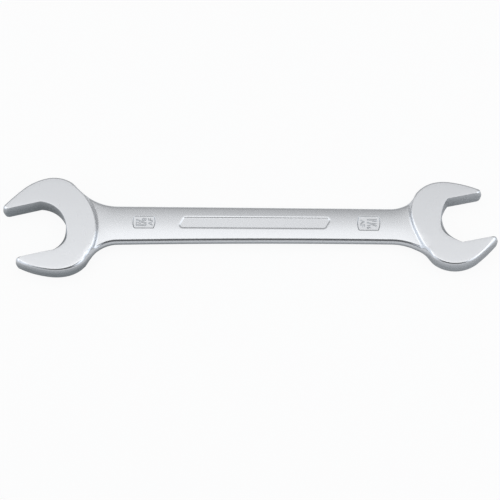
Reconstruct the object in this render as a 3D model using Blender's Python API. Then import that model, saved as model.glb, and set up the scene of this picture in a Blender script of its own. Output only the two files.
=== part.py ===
"""Double open end wrench: one drop forging with an angled jaw at each end.

Metres, +Z up. The shank runs along X, and the tool lies flat with the undersides of both
heads on Z = 0. The origin is at the middle of its outer box, under it.

Plan shapes are drawn as arcs in each head's own frame: u points out of the jaw along its axis,
v points across it, and u = 0 passes through the centre of the round throat.
"""

import math
from collections import namedtuple

import bmesh
import bpy
from mathutils import Vector
from mathutils.geometry import interpolate_bezier

MM = 0.001

# Sizes shared by the whole forging
HEAD_THICKNESS = 16.4 * MM
HEAD_EDGE_RADIUS = 1.6 * MM
HEAD_DRAFT_DEGREES = 3.0
HEAD_SPACING = 319.0 * MM  # between the points where the jaw axes cross the shank's axis
NOSE_ROUNDING = 0.3 * MM  # how much larger the plan radius of a nose is at the faces
ARC_TOLERANCE = 0.04 * MM  # most that a chord may leave its arc
WALL_STRIPS = 2
EDGE_STRIPS = 3
BACK_CHORDS = 10

# Shank: a crowned bar with bulged sides, which tapers towards the small head
SHANK_UPPER_LARGE = 17.2 * MM  # from the axis to the flank, at the large head
SHANK_UPPER_MIDDLE = 16.6 * MM
SHANK_UPPER_SMALL = 15.8 * MM
SHANK_LOWER_LARGE = 19.2 * MM
SHANK_LOWER_MIDDLE = 16.1 * MM
SHANK_LOWER_SMALL = 16.6 * MM
SHANK_EDGE_THICKNESS = 9.2 * MM
SHANK_CROWN = 0.8 * MM
SHANK_EDGE_RADIUS = 1.3 * MM
SHANK_SIDE_BULGE = 0.7 * MM
NECK_EDGE_THICKNESS = 12.0 * MM  # where the shank runs into a head
NECK_OVERRUN = 4.0 * MM  # how far the shank runs on inside a head
SHANK_STATIONS = 8
NECK_STATIONS = 12
CROWN_STRIPS = 6
SIDE_STRIPS = 2

# Large head, at the -X end
LARGE_ACROSS_FLATS = 47.625 * MM
LARGE_JAW_DEGREES = 14.2
LARGE_THROAT_REACH = 27.7 * MM  # from the crossing point on the shank's axis to the throat's centre
LARGE_THROAT_RADIUS = 25.5 * MM
LARGE_THROAT_OFFSET = 0.5 * MM  # from the jaw's axis to the throat's centre, along v
LARGE_NOSE_RADIUS = 2.1 * MM
LARGE_UPPER_HALF_WIDTH = 45.4 * MM
LARGE_UPPER_STATION = 17.4 * MM  # from the throat's centre back to the widest place
LARGE_UPPER_SHOULDER_RADIUS = 28.2 * MM
LARGE_UPPER_SHOULDER_DEGREES = 54.0
LARGE_UPPER_CHEEK_RADIUS = 46.4 * MM
LARGE_UPPER_CHEEK_DEGREES = 28.7
LARGE_UPPER_JAW_RADIUS = 198.0 * MM
LARGE_UPPER_NECK_RADIUS = 44.0 * MM
LARGE_LOWER_HALF_WIDTH = 45.1 * MM
LARGE_LOWER_STATION = 18.5 * MM
LARGE_LOWER_SHOULDER_RADIUS = 28.5 * MM
LARGE_LOWER_SHOULDER_DEGREES = 39.0
LARGE_LOWER_CHEEK_RADIUS = 43.0 * MM
LARGE_LOWER_CHEEK_DEGREES = 20.0
LARGE_LOWER_JAW_RADIUS = 92.0 * MM
LARGE_LOWER_NECK_RADIUS = 25.0 * MM
LARGE_BACK_SHARE = 0.365  # handle length of the back's curve, over the gap between shoulders

# Small head, at the +X end
SMALL_ACROSS_FLATS = 42.8625 * MM
SMALL_JAW_DEGREES = 12.3
SMALL_THROAT_REACH = 29.0 * MM
SMALL_THROAT_RADIUS = 26.8 * MM
SMALL_THROAT_OFFSET = 1.3 * MM
SMALL_NOSE_RADIUS = 1.7 * MM
SMALL_UPPER_HALF_WIDTH = 39.6 * MM
SMALL_UPPER_STATION = 25.2 * MM
SMALL_UPPER_SHOULDER_RADIUS = 27.0 * MM
SMALL_UPPER_SHOULDER_DEGREES = 48.0
SMALL_UPPER_CHEEK_RADIUS = 36.2 * MM
SMALL_UPPER_CHEEK_DEGREES = 20.0
SMALL_UPPER_JAW_RADIUS = 100.0 * MM
SMALL_UPPER_NECK_RADIUS = 24.0 * MM
SMALL_LOWER_HALF_WIDTH = 41.4 * MM
SMALL_LOWER_STATION = 18.9 * MM
SMALL_LOWER_SHOULDER_RADIUS = 29.4 * MM
SMALL_LOWER_SHOULDER_DEGREES = 57.0
SMALL_LOWER_CHEEK_RADIUS = 30.0 * MM
SMALL_LOWER_CHEEK_DEGREES = 30.0
SMALL_LOWER_JAW_RADIUS = 170.0 * MM
SMALL_LOWER_NECK_RADIUS = 46.0 * MM
SMALL_BACK_SHARE = 0.305

# Shallow panel forged into both faces of the shank
PANEL_LENGTH = 126.3 * MM
PANEL_WIDTH = 9.8 * MM
PANEL_SKEW = 5.0 * MM
PANEL_CORNER_RADIUS = 2.5 * MM
PANEL_DEPTH = 0.45 * MM
PANEL_CENTRE_X = 0.9 * MM
PANEL_CENTRE_Y = 0.3 * MM

# Stamped plates for the size marks, on the upper face only
MARK_LENGTH = 16.4 * MM
MARK_BULGE = 1.3 * MM
LARGE_MARK_WIDTH = 11.4 * MM
SMALL_MARK_WIDTH = 13.0 * MM
LARGE_MARK_PLACE = -94.1 * MM
SMALL_MARK_PLACE = 98.6 * MM
MARK_CENTRE_Y = 0.6 * MM
MARK_DEPTH = 0.25 * MM
CUT_OVERRUN = 5.0 * MM  # how far a cutter stands above the face that it cuts

CHROME_COLOUR = (0.70, 0.71, 0.73, 1.0)
CHROME_ROUGHNESS = 0.28
SHARP_DEGREES = 30.0  # edges that turn more than this are shaded sharp

SHANK_UPPER_FLANK = (SHANK_UPPER_LARGE, SHANK_UPPER_MIDDLE, SHANK_UPPER_SMALL)
SHANK_LOWER_FLANK = (SHANK_LOWER_LARGE, SHANK_LOWER_MIDDLE, SHANK_LOWER_SMALL)
Cheek = namedtuple("Cheek", "half_width station shoulder shoulder_turn cheek cheek_turn jaw neck")
Head = namedtuple("Head", "side flats angle reach throat throat_offset nose back_share upper lower")
Neck = namedtuple("Neck", "start radius slope end end_height")

LARGE = Head(
    side=-1,
    flats=LARGE_ACROSS_FLATS,
    angle=math.radians(LARGE_JAW_DEGREES),
    reach=LARGE_THROAT_REACH,
    throat=LARGE_THROAT_RADIUS,
    throat_offset=LARGE_THROAT_OFFSET,
    nose=LARGE_NOSE_RADIUS,
    back_share=LARGE_BACK_SHARE,
    upper=Cheek(
        LARGE_UPPER_HALF_WIDTH,
        LARGE_UPPER_STATION,
        LARGE_UPPER_SHOULDER_RADIUS,
        math.radians(LARGE_UPPER_SHOULDER_DEGREES),
        LARGE_UPPER_CHEEK_RADIUS,
        math.radians(LARGE_UPPER_CHEEK_DEGREES),
        LARGE_UPPER_JAW_RADIUS,
        LARGE_UPPER_NECK_RADIUS,
    ),
    lower=Cheek(
        LARGE_LOWER_HALF_WIDTH,
        LARGE_LOWER_STATION,
        LARGE_LOWER_SHOULDER_RADIUS,
        math.radians(LARGE_LOWER_SHOULDER_DEGREES),
        LARGE_LOWER_CHEEK_RADIUS,
        math.radians(LARGE_LOWER_CHEEK_DEGREES),
        LARGE_LOWER_JAW_RADIUS,
        LARGE_LOWER_NECK_RADIUS,
    ),
)
SMALL = Head(
    side=1,
    flats=SMALL_ACROSS_FLATS,
    angle=math.radians(SMALL_JAW_DEGREES),
    reach=SMALL_THROAT_REACH,
    throat=SMALL_THROAT_RADIUS,
    throat_offset=SMALL_THROAT_OFFSET,
    nose=SMALL_NOSE_RADIUS,
    back_share=SMALL_BACK_SHARE,
    upper=Cheek(
        SMALL_UPPER_HALF_WIDTH,
        SMALL_UPPER_STATION,
        SMALL_UPPER_SHOULDER_RADIUS,
        math.radians(SMALL_UPPER_SHOULDER_DEGREES),
        SMALL_UPPER_CHEEK_RADIUS,
        math.radians(SMALL_UPPER_CHEEK_DEGREES),
        SMALL_UPPER_JAW_RADIUS,
        SMALL_UPPER_NECK_RADIUS,
    ),
    lower=Cheek(
        SMALL_LOWER_HALF_WIDTH,
        SMALL_LOWER_STATION,
        SMALL_LOWER_SHOULDER_RADIUS,
        math.radians(SMALL_LOWER_SHOULDER_DEGREES),
        SMALL_LOWER_CHEEK_RADIUS,
        math.radians(SMALL_LOWER_CHEEK_DEGREES),
        SMALL_LOWER_JAW_RADIUS,
        SMALL_LOWER_NECK_RADIUS,
    ),
)


def chords(radius, sweep):
    """How many chords keep an arc within ARC_TOLERANCE."""
    step = 2 * math.acos(1 - min(ARC_TOLERANCE / radius, 1))
    return max(1, math.ceil(abs(sweep) / step))


def arc(centre, radius, start, end, count=None):
    """Points of an arc in the plane, both ends included."""
    count = count or chords(radius, end - start)
    turns = [start + (end - start) * i / count for i in range(count + 1)]
    return [Vector((centre.x + radius * math.cos(t), centre.y + radius * math.sin(t))) for t in turns]


def cheek_arcs(head, cheek, inset, nose):
    """The arcs of one side of a head, drawn on +v and moved in by inset: the nose from its end
    on the jaw flat, then the jaw, the cheek to the widest place, and the shoulder. Each is
    (centre, radius, start, end), tangent to the next."""
    across = math.pi / 2
    turn = across - cheek.cheek_turn
    cheek_centre = Vector((-cheek.station, cheek.half_width - cheek.cheek))
    shoulder_centre = Vector((-cheek.station, cheek.half_width - cheek.shoulder))
    jaw_centre = cheek_centre + (cheek.cheek - cheek.jaw) * Vector((math.cos(turn), math.sin(turn)))
    jaw_radius = cheek.jaw - inset
    nose_v = head.flats / 2 + nose
    nose_reach = math.sqrt((jaw_radius - nose) ** 2 - (nose_v - jaw_centre.y) ** 2)
    nose_centre = Vector((jaw_centre.x + nose_reach, nose_v))
    to_nose = nose_centre - jaw_centre
    jaw_start = math.atan2(to_nose.y, to_nose.x)
    return [
        (nose_centre, nose, -across, jaw_start),
        (jaw_centre, jaw_radius, jaw_start, turn),
        (cheek_centre, cheek.cheek - inset, turn, across),
        (shoulder_centre, cheek.shoulder - inset, across, across + cheek.shoulder_turn),
    ]


def cheek_side(head, cheek, inset, nose):
    """One side of a head on +v, with as many points at every inset as at the parting line."""
    points = []
    parting = cheek_arcs(head, cheek, 0, head.nose)
    for (_, radius, start, end), moved in zip(parting, cheek_arcs(head, cheek, inset, nose)):
        points = points[:-1] + arc(*moved, chords(radius, end - start))
    return points


def back_curve(share, start, start_way, end, end_way):
    """The back of a head between its shoulders, tangent to both."""
    pull = share * (end - start).length
    first = Vector((start.x, start.y, 0))
    last = Vector((end.x, end.y, 0))
    handle_a = first + pull * Vector((start_way.x, start_way.y, 0)).normalized()
    handle_b = last - pull * Vector((end_way.x, end_way.y, 0)).normalized()
    points = interpolate_bezier(first, handle_a, handle_b, last, BACK_CHORDS + 1)
    return [p.xy for p in points[1:-1]]


def cheek_on(head, hand):
    """The cheek on the +v or -v side. The large head is turned half round, so +v is -Y there."""
    return head.upper if hand == head.side else head.lower


def head_outline(head, inset, nose):
    """The closed outline of a head with its jaw. The inset moves its outside in, but not the
    flats and throat of the jaw."""
    first = cheek_side(head, cheek_on(head, 1), inset, nose)
    last = cheek_side(head, cheek_on(head, -1), inset, nose)
    last = [Vector((p.x, -p.y)) for p in reversed(last)]
    start_way, end_way = first[-1] - first[-2], last[1] - last[0]
    back = back_curve(head.back_share, first[-1], start_way, last[0], end_way)
    half = head.flats / 2
    first_corner = math.asin(min((half - head.throat_offset) / head.throat, 1))
    last_corner = math.asin(min((half + head.throat_offset) / head.throat, 1))
    centre = Vector((0, head.throat_offset))
    throat = arc(centre, head.throat, last_corner - math.pi, -first_corner - math.pi)
    return first + back + last + throat


def to_world(head, point):
    """A point of a head's own frame, placed in the tool's frame."""
    along = Vector((math.cos(head.angle), math.sin(head.angle)))
    across = Vector((-along.y, along.x))
    crossing = Vector((HEAD_SPACING / 2, 0))
    return head.side * (crossing + along * (head.reach + point.x) + across * point.y)


def skin(name, rings):
    """A closed mesh through rings of as many points each, the first and last filled."""
    mesh = bmesh.new()
    loops = [[mesh.verts.new(p) for p in ring] for ring in rings]
    for low, high in zip(loops, loops[1:]):
        for i in range(len(low)):
            j = (i + 1) % len(low)
            mesh.faces.new((low[i], low[j], high[j], high[i]))
    mesh.faces.new(list(reversed(loops[0])))
    mesh.faces.new(loops[-1])
    bmesh.ops.recalc_face_normals(mesh, faces=mesh.faces)
    data = bpy.data.meshes.new(name)
    mesh.to_mesh(data)
    mesh.free()
    obj = bpy.data.objects.new(name, data)
    bpy.context.scene.collection.objects.link(obj)
    return obj


def head_levels():
    """Heights from the parting line up to the face, with the inset of the outside at each."""
    wall = HEAD_THICKNESS / 2 - HEAD_EDGE_RADIUS
    slope = math.tan(math.radians(HEAD_DRAFT_DEGREES))
    levels = []
    for i in range(WALL_STRIPS):
        height = wall * i / WALL_STRIPS
        levels.append((height, height * slope))
    for i in range(EDGE_STRIPS + 1):
        turn = math.pi / 2 * i / EDGE_STRIPS
        height = wall + HEAD_EDGE_RADIUS * math.sin(turn)
        levels.append((height, wall * slope + HEAD_EDGE_RADIUS * (1 - math.cos(turn))))
    return levels


def head_blank(name, head):
    """A head on its own: drafted walls that meet at the parting line, rounded outer edges, and
    noses that are fuller towards the faces."""
    above = head_levels()
    below = [(-height, inset) for height, inset in reversed(above[1:])]
    rings = []
    for height, inset in below + above:
        nose = head.nose + NOSE_ROUNDING * (2 * height / HEAD_THICKNESS) ** 2
        plan = [to_world(head, p) for p in head_outline(head, inset, nose)]
        rings.append([Vector((p.x, p.y, height)) for p in plan])
    return skin(name, rings)


def straight_flank(x, hand):
    """How far the shank's flank lies from the axis between the necks: a parabola through its
    three named places."""
    large, middle, small = SHANK_UPPER_FLANK if hand > 0 else SHANK_LOWER_FLANK
    along = 2 * x / HEAD_SPACING
    return middle + (small - large) / 2 * along + ((large + small) / 2 - middle) * along**2


def neck(head, hand):
    """How the shank's flank on the +Y or -Y side runs into a shoulder: an arc tangent to the
    flank, then the straight line that leaves the shoulder's end. Places are distances from the
    middle towards the head, and heights from the axis towards the flank."""
    cheek = head.upper if hand > 0 else head.lower
    slope = cheek.shoulder_turn + hand * head.side * head.angle
    across = math.pi / 2 + cheek.shoulder_turn
    end_u = cheek.shoulder * math.cos(across) - cheek.station
    end_v = cheek.shoulder * math.sin(across) + cheek.half_width - cheek.shoulder
    end = to_world(head, Vector((end_u, hand * head.side * end_v)))
    end_place = head.side * end.x
    end_height = hand * end.y
    centre_height = straight_flank(head.side * HEAD_SPACING / 2, hand) + cheek.neck
    fall = (centre_height - end_height) * math.cos(slope) - cheek.neck
    centre_place = end_place + fall / math.sin(slope)
    return Neck(centre_place, cheek.neck, slope, end_place, end_height)


def flank(x, hand, necks):
    """How far the shank's flank on one side lies from the axis at x."""
    arcs = necks[1 if x > 0 else -1][hand]
    place = abs(x)
    straight = straight_flank(x, hand)
    into = place - arcs.start
    if into <= 0:
        return straight
    if into < arcs.radius * math.sin(arcs.slope):
        return straight + arcs.radius - math.sqrt(arcs.radius**2 - into**2)
    return arcs.end_height - max(arcs.end - place, 0) * math.tan(arcs.slope)


def neck_stations(side, arcs):
    """Places along X through a neck, from the straight shank to inside the head."""
    start = min(neck.start for neck in arcs.values())
    end = max(neck.end for neck in arcs.values()) + NECK_OVERRUN
    turns = [math.pi / 2 * i / NECK_STATIONS for i in range(NECK_STATIONS + 1)]
    return [side * (start + (end - start) * math.sin(t)) for t in turns]


def shank_section(x, upper, lower, rise):
    """The closed section of the shank at x, between the flanks at upper and -lower."""
    half = SHANK_EDGE_THICKNESS / 2 + rise * (NECK_EDGE_THICKNESS - SHANK_EDGE_THICKNESS) / 2
    side_height = half - SHANK_EDGE_RADIUS
    inset = SHANK_SIDE_BULGE + SHANK_EDGE_RADIUS
    quarter = []
    for i in range(SIDE_STRIPS):
        share = i / SIDE_STRIPS
        quarter.append((SHANK_SIDE_BULGE * share**2, side_height * share))
    for i in range(EDGE_STRIPS + 1):
        turn = math.pi / 2 * i / EDGE_STRIPS
        out = SHANK_SIDE_BULGE + SHANK_EDGE_RADIUS * (1 - math.cos(turn))
        quarter.append((out, side_height + SHANK_EDGE_RADIUS * math.sin(turn)))
    top = [(upper - i, z) for i, z in quarter]
    for i in range(1, CROWN_STRIPS):
        share = i / CROWN_STRIPS
        y = (upper - inset) + (inset - lower - upper + inset) * share
        top.append((y, half + SHANK_CROWN * (1 - (2 * share - 1) ** 2)))
    top += [(-lower + i, z) for i, z in reversed(quarter)]
    under = [(y, -z) for y, z in reversed(top[1:-1])]
    return [Vector((x, y, z)) for y, z in top + under]


def shank_bar(name, heads):
    """The shank with its flared necks, skinned through sections along X."""
    necks = {head.side: {hand: neck(head, hand) for hand in (1, -1)} for head in heads}
    ends = {side: neck_stations(side, arcs) for side, arcs in necks.items()}
    low, high = ends[-1][0], ends[1][0]
    between = [low + (high - low) * i / SHANK_STATIONS for i in range(1, SHANK_STATIONS)]
    rings = []
    for x in sorted(ends[-1] + between + ends[1]):
        arcs = necks[1 if x > 0 else -1].values()
        start = min(neck.start for neck in arcs)
        end = max(neck.end for neck in arcs)
        rise = min(max((abs(x) - start) / (end - start), 0), 1) ** 2
        rings.append(shank_section(x, flank(x, 1, necks), flank(x, -1, necks), rise))
    return skin(name, rings)


def prism(name, outline, low, high):
    """A straight cutter over a closed plan outline."""
    rings = [[Vector((p.x, p.y, z)) for p in outline] for z in (low, high)]
    obj = skin(name, rings)
    obj.hide_render = True
    obj.display_type = "WIRE"
    return obj


def rounded(corners, radius):
    """A closed counter-clockwise polygon with every corner rounded."""
    outline = []
    for i, corner in enumerate(corners):
        before = (corners[i - 1] - corner).normalized()
        after = (corners[(i + 1) % len(corners)] - corner).normalized()
        half_angle = before.angle(after) / 2
        centre = corner + (before + after).normalized() * radius / math.sin(half_angle)
        first = corner + before * radius / math.tan(half_angle) - centre
        last = corner + after * radius / math.tan(half_angle) - centre
        start = math.atan2(first.y, first.x)
        sweep = (math.atan2(last.y, last.x) - start) % (2 * math.pi)
        outline += arc(centre, radius, start, start + sweep)
    return outline


def panel_outline():
    """A long parallelogram whose ends lean back towards the large head at the lower edge."""
    end = PANEL_LENGTH / 2
    lean = PANEL_SKEW / 2
    edge = PANEL_WIDTH / 2
    corners = [(-end - lean, -edge), (end - lean, -edge), (end + lean, edge), (-end + lean, edge)]
    centre = Vector((PANEL_CENTRE_X, PANEL_CENTRE_Y))
    return rounded([centre + Vector(c) for c in corners], PANEL_CORNER_RADIUS)


def mark_outline(place, width):
    """A stamped plate with straight long sides and bulged ends, centred on place along X."""
    half = width / 2
    radius = (half**2 + MARK_BULGE**2) / (2 * MARK_BULGE)
    turn = math.asin(half / radius)
    right = Vector((place + MARK_LENGTH / 2 + MARK_BULGE - radius, MARK_CENTRE_Y))
    left = Vector((place - MARK_LENGTH / 2 - MARK_BULGE + radius, MARK_CENTRE_Y))
    return arc(right, radius, -turn, turn) + arc(left, radius, math.pi - turn, math.pi + turn)


def combine(target, other, operation):
    """Adds an exact Boolean with another object to the target."""
    change = target.modifiers.new(other.name, "BOOLEAN")
    change.operation = operation
    change.solver = "EXACT"
    change.object = other


def chrome():
    """Satin chrome plate over the forged and ground steel."""
    material = bpy.data.materials.new("satin_chrome")
    material.use_nodes = True
    shader = material.node_tree.nodes["Principled BSDF"]
    shader.inputs["Base Color"].default_value = CHROME_COLOUR
    shader.inputs["Metallic"].default_value = 1
    shader.inputs["Roughness"].default_value = CHROME_ROUGHNESS
    return material


def bake_booleans(obj):
    """Turns the evaluated forging into plain mesh data, and removes its cutters."""
    graph = bpy.context.evaluated_depsgraph_get()
    solid = bpy.data.meshes.new_from_object(obj.evaluated_get(graph))
    helpers = [change.object for change in obj.modifiers]
    obj.modifiers.clear()
    obj.data = solid
    for helper in helpers:
        bpy.data.objects.remove(helper, do_unlink=True)


def rest_on_ground(obj):
    """Moves the mesh so that its box stands on Z = 0, centred on the origin."""
    xs, ys, zs = zip(*(v.co for v in obj.data.vertices))
    shift = Vector((-(min(xs) + max(xs)) / 2, -(min(ys) + max(ys)) / 2, -min(zs)))
    for vertex in obj.data.vertices:
        vertex.co += shift
    return shift


def main():
    for obj in list(bpy.data.objects):
        bpy.data.objects.remove(obj, do_unlink=True)
    wrench = shank_bar("wrench_forging", (LARGE, SMALL))
    combine(wrench, head_blank("large_head", LARGE), "UNION")
    combine(wrench, head_blank("small_head", SMALL), "UNION")
    face = SHANK_EDGE_THICKNESS / 2 + SHANK_CROWN
    panel = panel_outline()
    combine(wrench, prism("upper_panel", panel, face - PANEL_DEPTH, face + CUT_OVERRUN), "DIFFERENCE")
    combine(wrench, prism("lower_panel", panel, -face - CUT_OVERRUN, -face + PANEL_DEPTH), "DIFFERENCE")
    for name, place, width in (
        ("large_mark", LARGE_MARK_PLACE, LARGE_MARK_WIDTH),
        ("small_mark", SMALL_MARK_PLACE, SMALL_MARK_WIDTH),
    ):
        outline = mark_outline(place, width)
        combine(wrench, prism(name, outline, face - MARK_DEPTH, face + CUT_OVERRUN), "DIFFERENCE")
    bake_booleans(wrench)
    shift = rest_on_ground(wrench)
    wrench.data.materials.clear()
    wrench.data.materials.append(chrome())
    wrench.data.shade_smooth()
    wrench.data.set_sharp_from_angle(angle=math.radians(SHARP_DEGREES))
    print("moved by", [round(value / MM, 3) for value in shift], "mm")
    for head in (LARGE, SMALL):
        throat = to_world(head, Vector((0, head.throat_offset)))
        print("throat centre", round((throat.x + shift.x) / MM, 3), round((throat.y + shift.y) / MM, 3), "mm")


main()
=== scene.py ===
import math
from collections import namedtuple

import bmesh
import bpy
import numpy as np
from mathutils import Matrix, Vector
from mathutils.geometry import delaunay_2d_cdt


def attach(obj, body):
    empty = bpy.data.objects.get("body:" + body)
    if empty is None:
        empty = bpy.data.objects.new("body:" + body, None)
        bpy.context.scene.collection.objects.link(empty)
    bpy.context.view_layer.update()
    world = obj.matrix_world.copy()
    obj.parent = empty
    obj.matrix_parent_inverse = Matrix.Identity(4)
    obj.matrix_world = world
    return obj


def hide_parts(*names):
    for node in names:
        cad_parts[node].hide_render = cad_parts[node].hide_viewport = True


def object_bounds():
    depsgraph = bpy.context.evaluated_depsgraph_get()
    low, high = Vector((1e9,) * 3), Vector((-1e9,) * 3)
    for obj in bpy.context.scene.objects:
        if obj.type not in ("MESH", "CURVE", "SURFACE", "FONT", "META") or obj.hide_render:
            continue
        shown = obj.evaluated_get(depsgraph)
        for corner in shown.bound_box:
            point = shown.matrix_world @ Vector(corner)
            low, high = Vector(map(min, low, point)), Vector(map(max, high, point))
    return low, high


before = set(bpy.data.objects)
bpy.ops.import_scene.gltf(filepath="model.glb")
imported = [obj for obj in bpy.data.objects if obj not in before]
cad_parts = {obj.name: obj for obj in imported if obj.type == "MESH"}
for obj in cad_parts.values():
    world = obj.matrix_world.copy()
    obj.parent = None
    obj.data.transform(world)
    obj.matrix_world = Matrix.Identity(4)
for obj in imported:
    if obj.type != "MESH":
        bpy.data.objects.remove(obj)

cad_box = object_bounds()
MM = 0.001

# Sizes that both heads share, and those of the shank
HEAD_THICKNESS = 16.4 * MM
HEAD_EDGE_RADIUS = 1.6 * MM
HEAD_DRAFT = math.tan(math.radians(3.0))
HEAD_SPACING = 319.0 * MM  # between the points where the jaw axes cross the shank's axis
NOSE_ROUNDING = 0.3 * MM  # how much larger the plan radius of a nose is at the faces
JAW_EDGE_RADIUS = 0.2 * MM  # where the flats and the throat meet the ground faces
SHANK_EDGE_THICKNESS = 9.2 * MM
NECK_EDGE_THICKNESS = 12.0 * MM
SHANK_CROWN = 0.8 * MM
SHANK_FACE = SHANK_EDGE_THICKNESS / 2 + SHANK_CROWN  # height of its crest above the parting plane
SHANK_EDGE_RADIUS = 2.8 * MM
SHANK_SIDE_LEAN = math.radians(22.0)  # of the bulged side where it runs into the rounded edge
UPPER_FLANK = (17.2 * MM, 16.6 * MM, 15.8 * MM)  # from the axis, at the large head, middle, small head
LOWER_FLANK = (19.2 * MM, 16.1 * MM, 16.6 * MM)
FULLER_EDGE = 3.2 * MM  # added to the edge radius at the near lower back of each head
FULLER_PLACE = math.radians(25.0)  # seen from the throat's centre, from the shank towards -Y
FULLER_SPREAD = math.radians(15.0)
NOSE_EDGE = 1.3 * MM  # added to the edge radius round the outside of a near nose
NOSE_EDGE_RUN = 7.0 * MM
STEP_FILLET = 2.4 * MM  # between the shank's top and the back of a head
STEP_FILLET_SHARE = 0.5  # most of the distance to the flank that the fillet's radius takes
LEAST_FILLET = 0.01 * MM
JUNCTION_EDGE = 3.4 * MM  # added to the shank's edge radius at the near shoulders' ends
JUNCTION_EDGE_RUN = 10.0 * MM
JUNCTION_RUN = 9.0 * MM  # along the flank, from the head's edge form to the shank's
JUNCTION_PLACE = 6.0 * MM  # along the flank from a shoulder's end, where the forms are blended most
JUNCTION_REACH = 9.0 * MM
JUNCTION_ROUNDS = 40

# A cheek is one side of a head: its widest place lies half_width from the jaw's axis and station
# behind the throat's centre, and the other values are the radii and turns of its arcs in plan
Cheek = namedtuple("Cheek", "half_width station shoulder shoulder_turn cheek cheek_turn jaw neck")

# A head lies on side -1 or 1 along X. Its reach is how far the throat's centre lies beyond the
# point where the jaw's axis crosses the shank's, back_share says how full the curve of its back is,
# and a further share how much painted wall shade darkens its sides
Head = namedtuple(
    "Head", "side flats angle reach throat throat_offset nose back_share wall_share upper lower"
)
LARGE = Head(
    side=-1,
    flats=47.625 * MM,
    angle=math.radians(14.2),
    reach=27.7 * MM,
    throat=25.5 * MM,
    throat_offset=0.5 * MM,
    nose=2.1 * MM,
    back_share=0.365,
    # full painted shade on the large head's walls
    wall_share=1.0,
    upper=Cheek(
        half_width=45.4 * MM,
        station=17.4 * MM,
        shoulder=28.2 * MM,
        shoulder_turn=math.radians(54.0),
        cheek=46.4 * MM,
        cheek_turn=math.radians(28.7),
        jaw=198.0 * MM,
        neck=44.0 * MM,
    ),
    lower=Cheek(
        half_width=45.1 * MM,
        station=18.5 * MM,
        shoulder=28.5 * MM,
        shoulder_turn=math.radians(39.0),
        cheek=43.0 * MM,
        cheek_turn=math.radians(20.0),
        jaw=92.0 * MM,
        neck=25.0 * MM,
    ),
)
SMALL = Head(
    side=1,
    flats=42.8625 * MM,
    angle=math.radians(12.3),
    reach=29.0 * MM,
    throat=26.8 * MM,
    throat_offset=1.3 * MM,
    nose=1.7 * MM,
    back_share=0.305,
    # less painted shade on the small head's walls
    wall_share=0.72,
    upper=Cheek(
        half_width=39.6 * MM,
        station=25.2 * MM,
        shoulder=27.0 * MM,
        shoulder_turn=math.radians(48.0),
        cheek=36.2 * MM,
        cheek_turn=math.radians(20.0),
        jaw=100.0 * MM,
        neck=24.0 * MM,
    ),
    lower=Cheek(
        half_width=41.4 * MM,
        station=18.9 * MM,
        shoulder=29.4 * MM,
        shoulder_turn=math.radians(57.0),
        cheek=30.0 * MM,
        cheek_turn=math.radians(30.0),
        jaw=170.0 * MM,
        neck=46.0 * MM,
    ),
)

# Shallow panel in both faces of the shank, and the stamped plates of the size marks
PANEL_LENGTH = 126.3 * MM
PANEL_WIDTH = 9.8 * MM
PANEL_SKEW = 5.0 * MM
PANEL_CORNER_RADIUS = 2.5 * MM
PANEL_DEPTH = 0.7 * MM
PANEL_CENTRE = (0.9 * MM, 0.6 * MM)
MARK_LENGTH = 16.4 * MM
MARK_BULGE = 1.3 * MM
MARK_DEPTH = 0.55 * MM
MARK_Y = 0.6 * MM
RECESS_SLOPE = 0.45 * MM  # half the width of a recess's side
LIP_SHARE = 0.4  # of the panel's depth that its rounded lip takes
LIP_REACH = 1.6 * MM
Recess = namedtuple("Recess", "outline depth lip_share")

# Size figures raised in the plates: each has its left, right, foot and top in mm from the plate's
# middle, read with the tops towards the head
LARGE_FIGURES = (
    ("1", -3.6, -2.1, -2.2, 6.9),
    ("7", -1.7, 0.5, 2.6, 6.9),
    ("/", -1.9, 3.2, -2.2, 6.9),
    ("8", 1.4, 4.0, -2.2, 2.0),
    ("AF", -3.2, 3.7, -7.5, -3.6),
)
SMALL_FIGURES = (
    ("1", -4.3, -3.0, -1.6, 6.9),
    ("11", -2.3, 0.2, 2.8, 6.9),
    ("/", -1.8, 3.0, -1.6, 6.9),
    ("16", 1.6, 4.9, -1.6, 2.2),
    ("AF", -3.8, 3.4, -7.3, -3.2),
)
FIGURE_SLOPE = 0.3 * MM  # width and height of the figures' sloping sides
FIGURE_SLOPE_STEPS = 1
FIGURE_CURVE_STEPS = 6
FIGURE_THINNING = 0.2 * MM
CAP_SHARE = 0.7  # of a font's size that its figures' height takes

# Each size mark has the head that it stands beside, its plate's middle along X and its plate's width
Mark = namedtuple("Mark", "name head place width figures")
MARKS = (
    Mark("large_size_mark", LARGE, -94.1 * MM, 11.4 * MM, LARGE_FIGURES),
    Mark("small_size_mark", SMALL, 98.6 * MM, 13.0 * MM, SMALL_FIGURES),
)

# How finely the forging is meshed
FACE_TOLERANCE = 0.02 * MM  # below a ground face, where a point still counts as on it
ARC_TOLERANCE = 0.004 * MM
LONGEST_CHORD = 1.3 * MM
WALL_STRIPS = 3
EDGE_STRIPS = 6
LEVELS = range(WALL_STRIPS + EDGE_STRIPS + 1)  # of the rings, from the parting line to the face
THROAT_SWEEP = 2.0  # radians, which the chords of a throat are counted for
FLAT_CHORDS = 14
BACK_CHORDS = 110
FLANK_CHORDS = 230
FLANK_SAMPLES = 6 * FLANK_CHORDS  # that its evenly spaced points are taken from
NUDGE = 0.01 * MM  # to each side of a place where the flank's slope is measured
SHANK_GRID = 1.7 * MM
FACE_GRID = 4.0 * MM
GRID_CHANGE = HEAD_SPACING / 2 - 14.0 * MM  # along X, from the shank's grid to the faces'
GRID_MARGIN = HEAD_SPACING / 16  # of the grids round the heads
GRID_GAP = 0.55  # of a grid's step, kept free round the rows and the inner ring
BAND_GAP = 0.4  # of BAND_STEP, kept free between the rows and the inner ring
BAND_STEP = 1.0 * MM  # along the outlines of recesses
STEP_ROWS = 22  # across the step between a head's face and the shank
STEP_OUT = 2.6 * MM  # how far the rows reach outside the back of a head
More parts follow.
